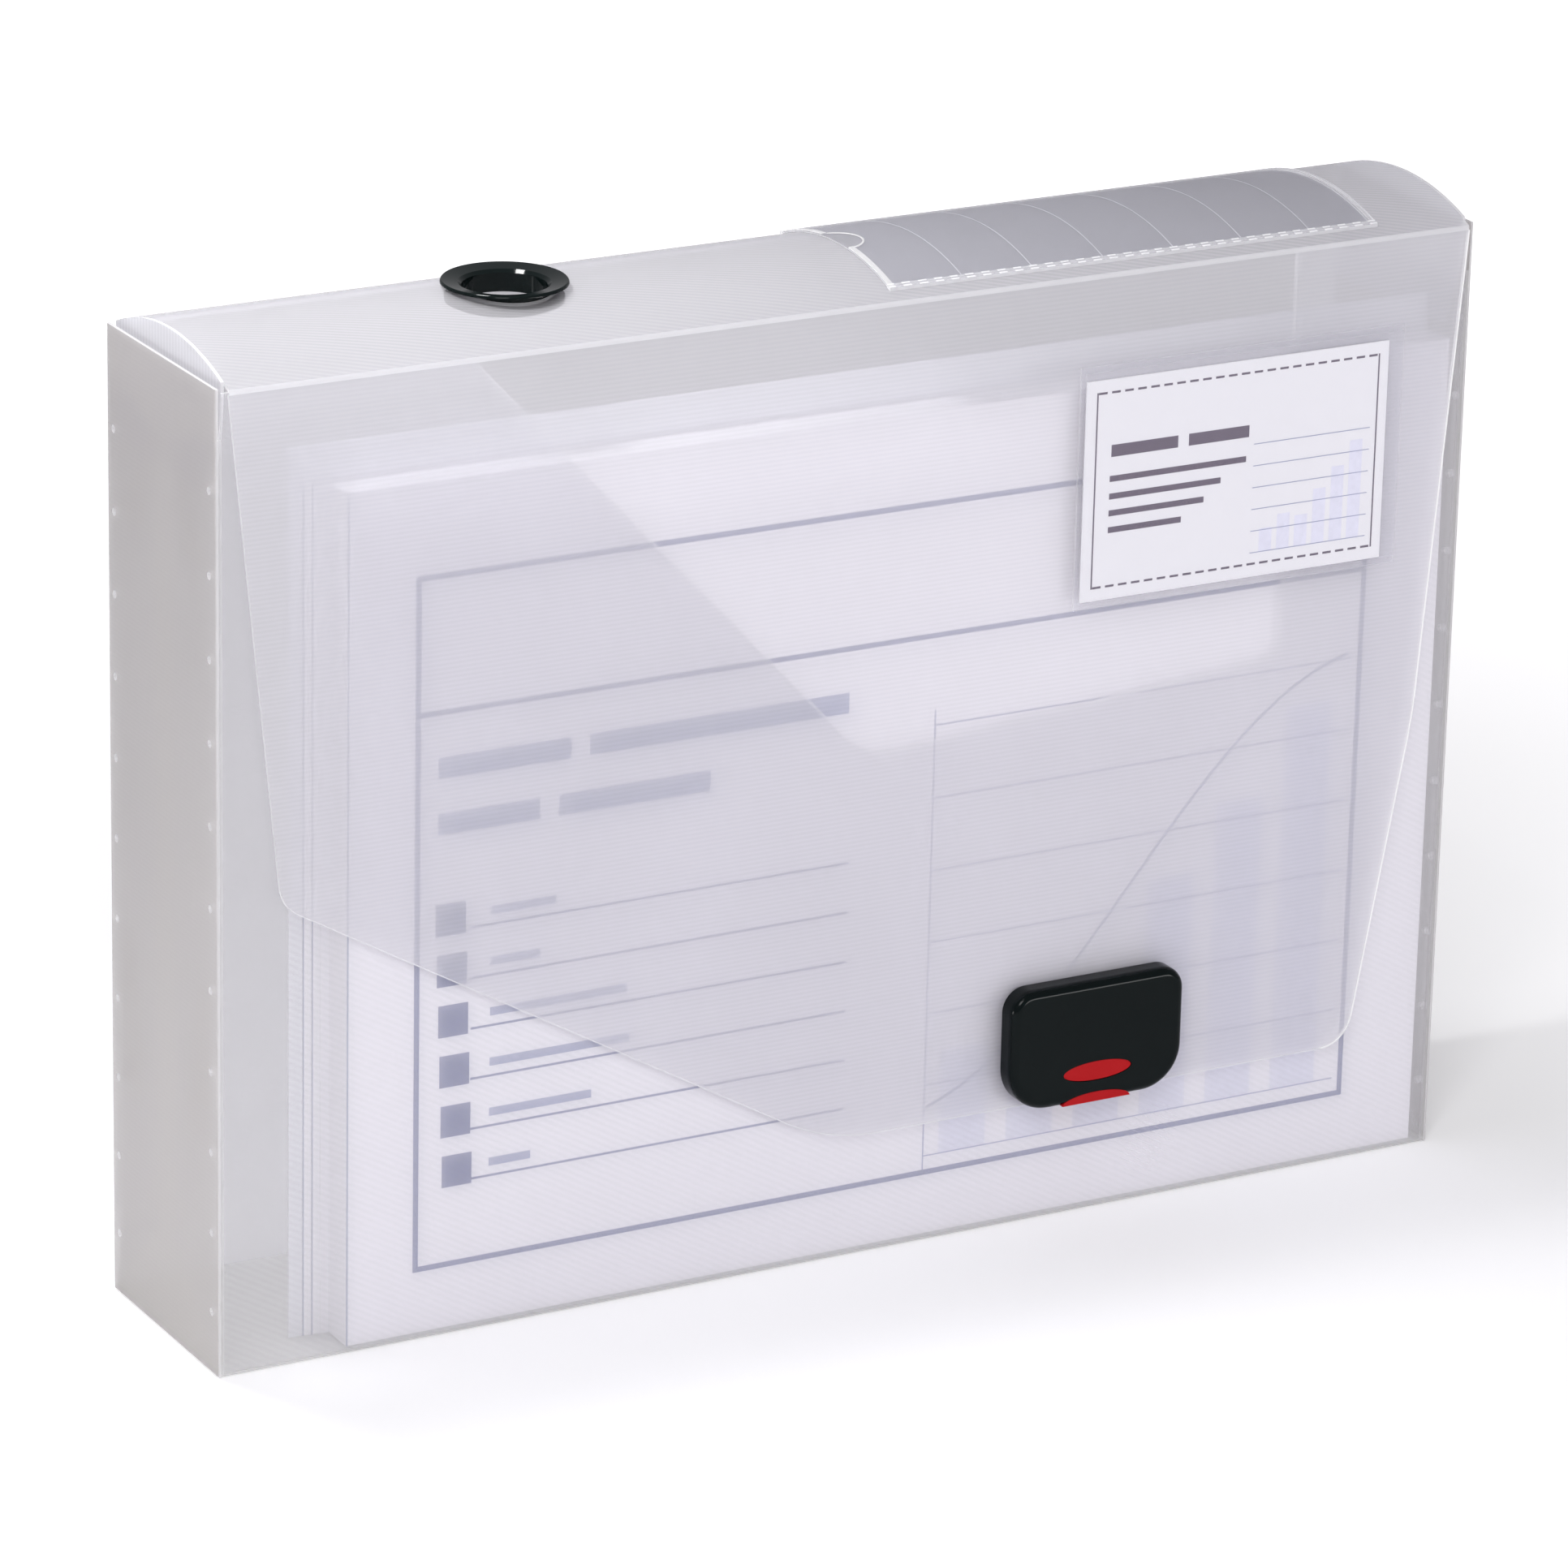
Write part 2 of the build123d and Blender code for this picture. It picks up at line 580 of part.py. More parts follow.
# Papers: a landscape report with its title page in front, then loose sheets and a taller wallet behind
page_front = wall_back + BACKING_THICKNESS + PAPER_FRONT_GAP
page_right = flap_inner - PAPER_SIDE_GAP
report_front = page_front + PAGE_THICKNESS
report_back = report_front + REPORT_THICKNESS
loose_back = report_back + LOOSE_SHEETS * PAGE_THICKNESS
with BuildPart() as title_page:
    with BuildSketch(front_plane(report_front)):
        with Locations((page_right, SHEET)):
            Rectangle(PAGE_WIDTH, PAGE_HEIGHT, align=(Align.MAX, Align.MIN))
    extrude(amount=PAGE_THICKNESS)
finish(title_page, "title_page")

with BuildPart() as report_pages:
    with BuildSketch(front_plane(report_back)):
        with Locations((page_right, SHEET)):
            Rectangle(PAGE_WIDTH, PAGE_HEIGHT, align=(Align.MAX, Align.MIN))
    extrude(amount=REPORT_THICKNESS)
finish(report_pages, "report_pages")

for index in range(LOOSE_SHEETS):
    with BuildPart() as loose_sheet:
        with BuildSketch(front_plane(report_back + (index + 1) * PAGE_THICKNESS)):
            with Locations((page_right - (index + 1) * LOOSE_SHEET_STEP, SHEET)):
                Rectangle(PAGE_WIDTH, PAGE_HEIGHT, align=(Align.MAX, Align.MIN))
        extrude(amount=PAGE_THICKNESS)
    finish(loose_sheet, f"loose_sheet_{index + 1}")

with BuildPart() as document_wallet:
    with BuildSketch(front_plane(loose_back + WALLET_THICKNESS)):
        with Locations((page_right, SHEET)):
            Rectangle(
                PAGE_WIDTH + WALLET_EXTRA_WIDTH,
                PAGE_HEIGHT + WALLET_EXTRA_HEIGHT,
                align=(Align.MAX, Align.MIN),
            )
    extrude(amount=WALLET_THICKNESS)
finish(document_wallet, "document_wallet")

print("arch radius", round(arch_radius, 3), "spine top", round(spine_top, 3))
print("space behind the papers, in y", round(loose_back + WALLET_THICKNESS, 3), "to", round(back_inner, 3))
print("barrel bottom", round(barrel_bottom, 3), "ring top", round(ring_lip_top, 3))
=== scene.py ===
"""Document box in translucent plastic sheet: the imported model, dressed and lit for one photograph."""
import bpy
import math
from mathutils import Matrix, Vector


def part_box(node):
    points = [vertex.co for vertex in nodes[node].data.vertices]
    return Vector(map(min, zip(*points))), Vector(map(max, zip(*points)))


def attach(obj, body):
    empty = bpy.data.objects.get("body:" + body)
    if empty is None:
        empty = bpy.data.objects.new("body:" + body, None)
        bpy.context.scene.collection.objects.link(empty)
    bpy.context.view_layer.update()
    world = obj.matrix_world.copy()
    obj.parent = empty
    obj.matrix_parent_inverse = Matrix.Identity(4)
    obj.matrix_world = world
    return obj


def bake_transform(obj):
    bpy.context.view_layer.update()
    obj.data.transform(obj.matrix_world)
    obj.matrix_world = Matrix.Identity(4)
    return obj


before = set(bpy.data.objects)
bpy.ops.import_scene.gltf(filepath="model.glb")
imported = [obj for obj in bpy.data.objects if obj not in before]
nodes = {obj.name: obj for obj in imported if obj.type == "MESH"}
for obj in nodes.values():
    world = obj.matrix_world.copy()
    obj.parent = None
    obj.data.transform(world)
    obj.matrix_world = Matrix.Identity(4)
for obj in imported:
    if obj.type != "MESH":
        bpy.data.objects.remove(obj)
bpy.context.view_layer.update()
bpy.ops.object.select_all(action="DESELECT")


# Camera: a long lens, above and to the left of the cover, rolled a little
view_turn, view_rise, view_roll = math.radians(-29.182), math.radians(19.688), math.radians(1.299)
camera_place = (-0.865434, -1.541804, 0.744595)
back = Vector((math.sin(view_turn) * math.cos(view_rise), -math.cos(view_turn) * math.cos(view_rise),
               math.sin(view_rise)))
side = Vector((0, 0, 1)).cross(back).normalized()
rise = back.cross(side)
right = side * math.cos(view_roll) + rise * math.sin(view_roll)
top = rise * math.cos(view_roll) - side * math.sin(view_roll)
camera_data = bpy.data.cameras.new("camera")
camera_data.lens = 179.09
camera_data.sensor_width = 36
camera_data.clip_end = 20
camera = bpy.data.objects.new("camera", camera_data)
bpy.context.scene.collection.objects.link(camera)
camera.matrix_world = Matrix.Translation(camera_place) @ Matrix((right, top, back)).transposed().to_4x4()
bpy.context.scene.camera = camera
bpy.context.scene.view_settings.view_transform = "Standard"
bpy.context.scene.cycles.transparent_max_bounces = 40


# Studio: a pale room, a key light from the upper left, three soft fills and a small lamp for the ring's
# glint. Past the box the camera sees the room as white, as on the cut-out photograph, and through the box's
# sheet as a middle grey.
world = bpy.data.worlds.new("studio")
bpy.context.scene.world = world
world.use_nodes = True
tree = world.node_tree
tree.nodes.clear()
room = tree.nodes.new("ShaderNodeBackground")
room.inputs["Color"].default_value = (0.97, 0.95, 0.985, 1)
room.inputs["Strength"].default_value = 0.435
white = tree.nodes.new("ShaderNodeBackground")
white.inputs["Color"].default_value = (1, 1, 1, 1)
dim = tree.nodes.new("ShaderNodeBackground")
dim.inputs["Color"].default_value = (0.22, 0.212, 0.218, 1)
backdrop = tree.nodes.new("ShaderNodeMixShader")
path = tree.nodes.new("ShaderNodeLightPath")
bare = tree.nodes.new("ShaderNodeMath")
bare.operation = "LESS_THAN"
bare.inputs[1].default_value = 0.5
mix = tree.nodes.new("ShaderNodeMixShader")
out = tree.nodes.new("ShaderNodeOutputWorld")
tree.links.new(path.outputs["Transparent Depth"], bare.inputs[0])
tree.links.new(bare.outputs[0], backdrop.inputs["Fac"])
tree.links.new(dim.outputs[0], backdrop.inputs[1])
tree.links.new(white.outputs[0], backdrop.inputs[2])
tree.links.new(path.outputs["Is Camera Ray"], mix.inputs["Fac"])
tree.links.new(room.outputs[0], mix.inputs[1])
tree.links.new(backdrop.outputs[0], mix.inputs[2])
tree.links.new(mix.outputs[0], out.inputs["Surface"])


def soft_box(name, place, aim, width, height, power):
    """A rectangular studio lamp at a place, turned to the point that it lights."""
    lamp = bpy.data.lights.new(name, "AREA")
    lamp.shape = "RECTANGLE"
    lamp.size, lamp.size_y, lamp.energy = width, height, power
    holder = bpy.data.objects.new(name, lamp)
    bpy.context.scene.collection.objects.link(holder)
    holder.location = place
    holder.rotation_euler = (Vector(aim) - Vector(place)).to_track_quat("-Z", "Y").to_euler()
    holder.visible_camera = False


soft_box("key_light", (-0.9, -1.3, 1.3), (0, 0, 0.12), 0.7, 0.7, 12.4)
soft_box("front_fill", (0.75, -1.35, 0.06), (0.15, 0, 0.02), 0.9, 0.4, 10.4)
soft_box("spine_light", (-0.17, 0.04, 0.5), (-0.15, 0, 0.24), 0.06, 0.06, 1.0)
soft_box("low_left_fill", (-0.6, 0.02, 0.06), (-0.167, 0, 0.03), 0.3, 0.1, 1.15)
soft_box("glint_lamp", (-0.3, -0.5, 1.1), (-0.08, 0, 0.25), 0.06, 0.06, 0.25)

# Floor: a pale studio table that keeps the box's shadow
bpy.ops.mesh.primitive_plane_add(size=6, location=(0, 0, -0.0002))
floor = bpy.context.object
floor.name = "studio_floor"
table = bpy.data.materials.new("studio_table")
table.use_nodes = True
tree = table.node_tree
tree.nodes["Principled BSDF"].inputs["Base Color"].default_value = (0.93, 0.93, 0.94, 1)
tree.nodes["Principled BSDF"].inputs["Roughness"].default_value = 0.8
tree.nodes["Principled BSDF"].inputs["Specular IOR Level"].default_value = 0.1
glow = tree.nodes.new("ShaderNodeEmission")
place = tree.nodes.new("ShaderNodeTexCoord")
reach = tree.nodes.new("ShaderNodeVectorMath")
reach.operation = "LENGTH"
sweep = tree.nodes.new("ShaderNodeMapRange")
sweep.inputs["From Min"].default_value = 0.2
sweep.inputs["From Max"].default_value = 0.9
sweep.inputs["To Min"].default_value = 0.18
sweep.inputs["To Max"].default_value = 0.85
tree.links.new(place.outputs["Object"], reach.inputs[0])
tree.links.new(reach.outputs["Value"], sweep.inputs["Value"])
tree.links.new(sweep.outputs[0], glow.inputs["Strength"])
path = tree.nodes.new("ShaderNodeLightPath")
bare = tree.nodes.new("ShaderNodeMath")
bare.operation = "LESS_THAN"
bare.inputs[1].default_value = 0.5
seen = tree.nodes.new("ShaderNodeMath")
seen.operation = "MULTIPLY"
lit = tree.nodes.new("ShaderNodeMixShader")
both = tree.nodes.new("ShaderNodeAddShader")
tree.links.new(path.outputs["Transparent Depth"], bare.inputs[0])
tree.links.new(path.outputs["Is Camera Ray"], seen.inputs[0])
tree.links.new(bare.outputs[0], seen.inputs[1])
tree.links.new(tree.nodes["Principled BSDF"].outputs[0], both.inputs[0])
tree.links.new(glow.outputs[0], both.inputs[1])
tree.links.new(seen.outputs[0], lit.inputs["Fac"])
tree.links.new(tree.nodes["Principled BSDF"].outputs[0], lit.inputs[1])
tree.links.new(both.outputs[0], lit.inputs[2])
tree.links.new(lit.outputs[0], tree.nodes["Material Output"].inputs["Surface"])
floor.data.materials.append(table)


# Walls of the box: floor, back, front wall and end panels, folded from one blank of polypropylene sheet.
# The sheet is milky, lets about half of the light straight through, and has a fine grain of embossed
# lines. Its cut edges gather light and look white.
def milky_sheet(name, facing, lines, clear, relief, tint=(0.86, 0.855, 0.88), pitch=0.0011, grain=0.02,
                gloss=0.34, rim=0.85):
    """Sheet material. facing is the axis across the sheet, lines the direction across its grain and pitch
    their spacing, clear the share of light that goes straight through one of its two faces, grain the
    strength of the lines in that share and relief in the surface, and rim how white the edges are."""
    sheet = bpy.data.materials.new(name)
    sheet.use_nodes = True
    tree = sheet.node_tree
    tree.nodes.clear()
    add = tree.nodes.new
    link = tree.links.new
    place = add("ShaderNodeTexCoord")

    across = add("ShaderNodeVectorMath")
    across.operation = "DOT_PRODUCT"
    across.inputs[1].default_value = Vector(lines).normalized() * (2 * math.pi / pitch)
    link(place.outputs["Object"], across.inputs[0])
    ripple = add("ShaderNodeMath")
    ripple.operation = "SINE"
    link(across.outputs["Value"], ripple.inputs[0])

    turned = add("ShaderNodeVectorMath")
    turned.operation = "DOT_PRODUCT"
    turned.inputs[1].default_value = facing
    link(place.outputs["Normal"], turned.inputs[0])
    flat = add("ShaderNodeMath")
    flat.operation = "ABSOLUTE"
    link(turned.outputs["Value"], flat.inputs[0])
    edge = add("ShaderNodeMapRange")
    edge.inputs["From Min"].default_value = 0.9
    edge.inputs["From Max"].default_value = 0.4
    link(flat.outputs[0], edge.inputs["Value"])

    streak = add("ShaderNodeMath")
    streak.operation = "MULTIPLY_ADD"
    streak.inputs[1].default_value = grain
    streak.inputs[2].default_value = 1 - clear
    link(ripple.outputs[0], streak.inputs[0])
    body = add("ShaderNodeMix")
    body.data_type = "FLOAT"
    body.inputs["B"].default_value = rim
    link(edge.outputs[0], body.inputs["Factor"])
    link(streak.outputs[0], body.inputs["A"])

    cloud = add("ShaderNodeTexNoise")
    cloud.inputs["Scale"].default_value = 16
    cloud.inputs["Detail"].default_value = 1
    link(place.outputs["Object"], cloud.inputs["Vector"])
    milk = add("ShaderNodeMix")
    milk.data_type = "RGBA"
    milk.inputs["A"].default_value = (*[0.97 * c for c in tint], 1)
    milk.inputs["B"].default_value = (*[1.03 * c for c in tint], 1)
    link(cloud.outputs["Fac"], milk.inputs["Factor"])
    colour = add("ShaderNodeMix")
    colour.data_type = "RGBA"
    colour.inputs["B"].default_value = (0.95, 0.95, 0.96, 1)
    link(edge.outputs[0], colour.inputs["Factor"])
    link(milk.outputs["Result"], colour.inputs["A"])

    emboss = add("ShaderNodeBump")
    emboss.inputs["Strength"].default_value = relief
    emboss.inputs["Distance"].default_value = 0.00004
    link(ripple.outputs[0], emboss.inputs["Height"])

    skin = add("ShaderNodeBsdfPrincipled")
    skin.inputs["Roughness"].default_value = gloss
    skin.inputs["Specular IOR Level"].default_value = 0.5
    link(colour.outputs["Result"], skin.inputs["Base Color"])
    link(emboss.outputs[0], skin.inputs["Normal"])
    glowing = add("ShaderNodeBsdfTranslucent")
    link(colour.outputs["Result"], glowing.inputs["Color"])
    filled = add("ShaderNodeMixShader")
    filled.inputs["Fac"].default_value = 0.5
    link(skin.outputs[0], filled.inputs[1])
    link(glowing.outputs[0], filled.inputs[2])
    through = add("ShaderNodeBsdfTransparent")
    through.inputs["Color"].default_value = (0.985, 0.985, 0.99, 1)
    look = add("ShaderNodeMixShader")
    link(body.outputs["Result"], look.inputs["Fac"])
    link(through.outputs[0], look.inputs[1])
    link(filled.outputs[0], look.inputs[2])
    out = add("ShaderNodeOutputMaterial")
    link(look.outputs[0], out.inputs["Surface"])
    return sheet


across_x, across_y, across_z = (1, 0, 0), (0, 1, 0), (0, 0, 1)
slanting = (0.5, 0, 0.87)
wall_sheet = milky_sheet("wall_sheet", across_y, slanting, clear=0.74, pitch=0.0015, grain=0.012,
                         relief=0.03, rim=0.5)
# The end panels' sheet has a much darker tint than the front wall's: painted shade on the end panels.
end_sheet_painted_shade = milky_sheet("end_sheet_painted_shade", across_x, across_z, clear=0.38, tint=(0.62, 0.598, 0.586), grain=0.006,
                        relief=0.04, rim=0.7)
# The floor's sheet has a lighter tint and lets less through: painted light from the table beneath it.
floor_sheet_painted_light = milky_sheet("floor_sheet_painted_light", across_z, across_y, clear=0.2, tint=(0.97, 0.97, 0.955), grain=0,
                          relief=0, rim=0.5)
# The back panel's sheet has a slightly darker tint than the front wall's: painted shade.
back_sheet_painted_shade = milky_sheet("back_sheet_painted_shade", across_y, slanting, clear=0.64, tint=(0.82, 0.815, 0.825), grain=0,
                         relief=0, rim=0.5)
nodes["front_wall"].material_slots[0].material = wall_sheet
nodes["back_panel"].material_slots[0].material = back_sheet_painted_shade
for name in ("left_end_panel", "right_end_panel"):
    nodes[name].material_slots[0].material = end_sheet_painted_shade
nodes["bottom_panel"].material_slots[0].material = floor_sheet_painted_light


# Glue flaps: strips of the same sheet folded in behind the end panels, mitred at the bottom. Welded face to
# face with the end panels, they look like one sheet with them, but for a faint outline.
# The flaps share the end panels' darker tint, which is painted shade.
flap_sheet_painted_shade = milky_sheet("flap_sheet_painted_shade", across_x, across_z, clear=0.9, tint=(0.65, 0.628, 0.616), grain=0.003,
                         relief=0, rim=0.35)
for name in ("left_front", "left_back", "right_front", "right_back"):
    nodes[name + "_glue_flap"].material_slots[0].material = flap_sheet_painted_shade


# Weld spots: small beads where end panel and glue flap are melted together. They are clearer and glossier
# than the sheet around them, and catch the light.
weld_bead = bpy.data.materials.new("weld_bead")
weld_bead.use_nodes = True
tree = weld_bead.node_tree
bead = tree.nodes["Principled BSDF"]
bead.inputs["Roughness"].default_value = 0.3
bead.inputs["Alpha"].default_value = 0.07
place = tree.nodes.new("ShaderNodeTexCoord")
speckle = tree.nodes.new("ShaderNodeTexNoise")
speckle.inputs["Scale"].default_value = 900
shade = tree.nodes.new("ShaderNodeMapRange")
shade.inputs["To Min"].default_value = 0.8
shade.inputs["To Max"].default_value = 0.98
tree.links.new(place.outputs["Object"], speckle.inputs["Vector"])
tree.links.new(speckle.outputs["Fac"], shade.inputs["Value"])
tree.links.new(shade.outputs[0], bead.inputs["Base Color"])
for name in ("left_weld_plugs", "right_weld_plugs"):
    nodes[name].material_slots[0].material = weld_bead


# Papers: a report of landscape pages with its title page in front, loose sheets that fan out to the left,
# and a taller wallet behind. White copier paper, whose stacked edges show fine lines.
def paper(name, tint, stacked):
    """White paper with a faint fibre mottle. stacked paper shows the lines of its pages on its edges."""
    stock = bpy.data.materials.new(name)
    stock.use_nodes = True
    tree = stock.node_tree
    face = tree.nodes["Principled BSDF"]
    face.inputs["Roughness"].default_value = 0.75
    face.inputs["Specular IOR Level"].default_value = 0.25
    place = tree.nodes.new("ShaderNodeTexCoord")
    fibre = tree.nodes.new("ShaderNodeTexNoise")
    fibre.inputs["Scale"].default_value = 260
    fibre.inputs["Detail"].default_value = 4
    tree.links.new(place.outputs["Object"], fibre.inputs["Vector"])
    colour = tree.nodes.new("ShaderNodeMix")
    colour.data_type = "RGBA"
    colour.inputs["A"].default_value = (*[0.97 * c for c in tint], 1)
    colour.inputs["B"].default_value = (*tint, 1)
    tree.links.new(fibre.outputs["Fac"], colour.inputs["Factor"])
    last = colour.outputs["Result"]
    if stacked:
        leaves = tree.nodes.new("ShaderNodeTexWave")
        leaves.bands_direction = "Y"
        leaves.inputs["Scale"].default_value = 420
        leaves.inputs["Distortion"].default_value = 0.6
        tree.links.new(place.outputs["Object"], leaves.inputs["Vector"])
        turned = tree.nodes.new("ShaderNodeSeparateXYZ")
        tree.links.new(place.outputs["Normal"], turned.inputs[0])
        side = tree.nodes.new("ShaderNodeMath")
        side.operation = "ABSOLUTE"
        tree.links.new(turned.outputs["Y"], side.inputs[0])
        on_edge = tree.nodes.new("ShaderNodeMath")
        on_edge.operation = "LESS_THAN"
        on_edge.inputs[1].default_value = 0.5
        tree.links.new(side.outputs[0], on_edge.inputs[0])
        shown = tree.nodes.new("ShaderNodeMath")
        shown.operation = "MULTIPLY"
        tree.links.new(leaves.outputs["Fac"], shown.inputs[0])
        tree.links.new(on_edge.outputs[0], shown.inputs[1])
        lined = tree.nodes.new("ShaderNodeMix")
        lined.data_type = "RGBA"
        lined.inputs["B"].default_value = (*[0.86 * c for c in tint], 1)
        tree.links.new(shown.outputs[0], lined.inputs["Factor"])
        tree.links.new(last, lined.inputs["A"])
        last = lined.outputs["Result"]
    tree.links.new(last, face.inputs["Base Color"])
    return stock


page_stock = paper("page_stock", (0.9, 0.88, 0.92), False)
stack_stock = paper("stack_stock", (0.93, 0.915, 0.95), True)
wallet_stock = paper("wallet_stock", (0.82, 0.82, 0.86), False)
nodes["title_page"].material_slots[0].material = page_stock
nodes["report_pages"].material_slots[0].material = stack_stock
for name in ("loose_sheet_1", "loose_sheet_2", "loose_sheet_3"):
    nodes[name].material_slots[0].material = stack_stock
nodes["document_wallet"].material_slots[0].material = wallet_stock


# Print on the title page: a ruled frame, a header rule, a title of plain bars and a list of six squares
# with ruled lines. Slate ink on the paper, a few hundredths of a millimetre thick.
def ink(name, colour):
    """Matt printing ink with a slight mottle; it also draws the painted shadow lines along the papers'
    edges.
    """
    fluid = bpy.data.materials.new(name)
    fluid.use_nodes = True
    tree = fluid.node_tree
    tree.nodes["Principled BSDF"].inputs["Roughness"].default_value = 0.6
    place = tree.nodes.new("ShaderNodeTexCoord")
    mottle = tree.nodes.new("ShaderNodeTexNoise")
    mottle.inputs["Scale"].default_value = 700
    mottle.inputs["Detail"].default_value = 2
    blend = tree.nodes.new("ShaderNodeMix")
    blend.data_type = "RGBA"
    blend.inputs["A"].default_value = (*colour, 1)
    blend.inputs["B"].default_value = (*[min(1, 1.18 * c) for c in colour], 1)
    tree.links.new(place.outputs["Object"], mottle.inputs["Vector"])
    tree.links.new(mottle.outputs["Fac"], blend.inputs["Factor"])
    tree.links.new(blend.outputs["Result"], tree.nodes["Principled BSDF"].inputs["Base Color"])
    return fluid


def print_and_shadow_layer(name, bars, y, material, body):
    """One flat layer facing -Y at depth y, for print and for painted shadow lines: bars are (x0, z0, x1, z1)
    in millimetres.
    """
    bpy.ops.object.select_all(action="DESELECT")
    bpy.ops.mesh.primitive_plane_add(size=1, enter_editmode=True)
    bpy.ops.mesh.delete(type="VERT")
    for x0, z0, x1, z1 in bars:
        middle = ((x0 + x1) / 2000, y / 1000, (z0 + z1) / 2000)
        bpy.ops.mesh.select_all(action="DESELECT")
        bpy.ops.mesh.primitive_plane_add(size=1, location=middle, rotation=(math.pi / 2, 0, 0))
        bpy.ops.transform.resize(value=((x1 - x0) / 1000, 1, (z1 - z0) / 1000), center_override=middle)
    bpy.ops.mesh.select_all(action="SELECT")
    bpy.ops.mesh.extrude_region_move(TRANSFORM_OT_translate={"value": (0, -0.00002, 0)})
    bpy.ops.mesh.select_all(action="SELECT")
    bpy.ops.mesh.normals_make_consistent(inside=False)
    bpy.ops.object.mode_set(mode="OBJECT")
    layer = bpy.context.object
    layer.name = name
    layer.data.transform(layer.matrix_world)
    layer.matrix_world = Matrix.Identity(4)
    layer.data.materials.append(material)
    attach(layer, body)


def ruled_frame(x0, z0, x1, z1, line):
    """Four bars of a rectangular outline, which meet at its corners."""
    inner = (x0 + line, x1 - line)
    return [(x0, z0, inner[0], z1), (inner[1], z0, x1, z1), (inner[0], z0, inner[1], z0 + line),
            (inner[0], z1 - line, inner[1], z1)]


page_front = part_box("title_page")[0].y * 1000
slate = ink("slate_ink", (0.13, 0.145, 0.29))
pale_slate = ink("pale_slate_ink", (0.3, 0.32, 0.47))
header_rule = (-114.9, 154.2, 141.1, 155.5)
page_lines = ruled_frame(-116.3, 16.2, 142.5, 188.6, 1.4) + [header_rule]
row_pitch, row_shift = 12.65, 0.4
list_tops = [107.7 - row_pitch * row for row in range(6)]
square_lefts = [-110.8 + row_shift * row for row in range(6)]
page_lines += [(left, high - 8.0, left + 7.8, high) for left, high in zip(square_lefts, list_tops)]
page_lines += [(-101.5, high - 7.2, -1.0, high - 6.6) for high in list_tops]
print_and_shadow_layer("page_lines", page_lines, page_front, slate, "box")
title_words = [(-110.4, 138.7, -76, 143.9), (-71, 138.7, -2, 143.9),
               (-110.4, 124.9, -84, 130.1), (-79, 124.9, -39, 130.1)]
list_words = [(-96.5, high - 4.5, -96.5 + wide, high - 2.4)
              for high, wide in zip(list_tops, (17, 13, 36, 37, 27, 11))]
print_and_shadow_layer("page_words", title_words + list_words, page_front, pale_slate, "box")


# Sheet edges: where the papers fan out to the left, a fine grey-blue line of painted shadow runs down the
# left side of a sheet, along its cut edge.
painted_edge_shadow = ink("sheet_edge_painted_shadow", (0.27, 0.31, 0.41))
for name, wide in (("title_page", 0.45), ("loose_sheet_2", 0.3), ("loose_sheet_3", 0.35)):
    low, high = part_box(name)
    side_line = [(low.x * 1000, low.z * 1000, low.x * 1000 + wide, high.z * 1000)]
    print_and_shadow_layer(name + "_edge", side_line, low.y * 1000, painted_edge_shadow, "box")


# Print in the lower right of the title page: a bar chart of pale columns on thin grid lines, with a rising
# line drawn over it. It fills the place of the photographed page's picture.
lavender = ink("lavender_ink", (0.69, 0.685, 0.79))
column_heights = [27, 41, 36, 62, 79, 101]
column_pitch, page_chart_foot, grid_pitch = 19, 21.0, 18.5
columns = [(26 + column_pitch * n, page_chart_foot, 39 + column_pitch * n, page_chart_foot + tall)
           for n, tall in enumerate(column_heights)]
print_and_shadow_layer("chart_columns", columns, page_front, lavender, "box")
grid = [(21.9, page_chart_foot + grid_pitch * n, 139.5, 21.35 + grid_pitch * n) for n in range(7)]
grid += [(21.5, 17.6, 21.9, 136.0)]
print_and_shadow_layer("chart_grid", grid, page_front - 0.03, pale_slate, "box")

# Line of the chart: a round wire, pressed flat on the page.
bpy.ops.object.select_all(action="DESELECT")
bpy.ops.curve.primitive_bezier_curve_add()
trend = bpy.context.object
trend.name = "chart_line"
start, end = trend.data.splines[0].bezier_points
line_y = (page_front - 0.06) / 1000
start.co, start.handle_left, start.handle_right = [(x, line_y, z) for x, z in (
    (0.0225, 0.034), (0.01, 0.03), (0.065, 0.047))]
end.co, end.handle_left, end.handle_right = [(x, line_y, z) for x, z in (
    (0.1385, 0.1335), (0.095, 0.124), (0.15, 0.136))]
trend.data.resolution_u = 48
trend.data.bevel_depth = 0.00035
trend.data.bevel_resolution = 2
trend.data.use_fill_caps = True
trend.matrix_world = Matrix.Identity(4)
bpy.ops.object.convert(target="MESH")
bpy.ops.object.mode_set(mode="EDIT")
bpy.ops.mesh.select_all(action="SELECT")
bpy.ops.transform.resize(value=(1, 0.06, 1), center_override=(0, line_y, 0))
bpy.ops.object.mode_set(mode="OBJECT")
trend.data.materials.clear()
trend.data.materials.append(pale_slate)
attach(trend, "box")


# Spine: the arched top of the box, of the same sheet, with its grain running across at a slant. The tuck
# flaps are its ends, folded down inside the end panels.
spine_sheet = milky_sheet("spine_sheet", across_z, (0.35, 0.94, 0), clear=0.7, pitch=0.0013, relief=0.25)
nodes["spine_panel"].material_slots[0].material = spine_sheet
tuck_sheet = milky_sheet("tuck_sheet", across_x, across_y, clear=0.5, tint=(0.9, 0.9, 0.93), pitch=0.0016,
                         grain=0.03, relief=0.35)
for name in ("left_tuck_flap", "right_tuck_flap"):
    nodes[name].material_slots[0].material = tuck_sheet


# Living hinges: the two top folds, where the sheet is pressed to a thin rounded web on which the real box
# bends.
# Each web is built as a fixed rounded strip along its fold; one lies between back panel and spine, the other
# between spine and cover.
fold_sheet = milky_sheet("fold_sheet", across_z, across_x, clear=0.6, tint=(0.88, 0.875, 0.9), grain=0.004,
                         relief=0, rim=0.5)


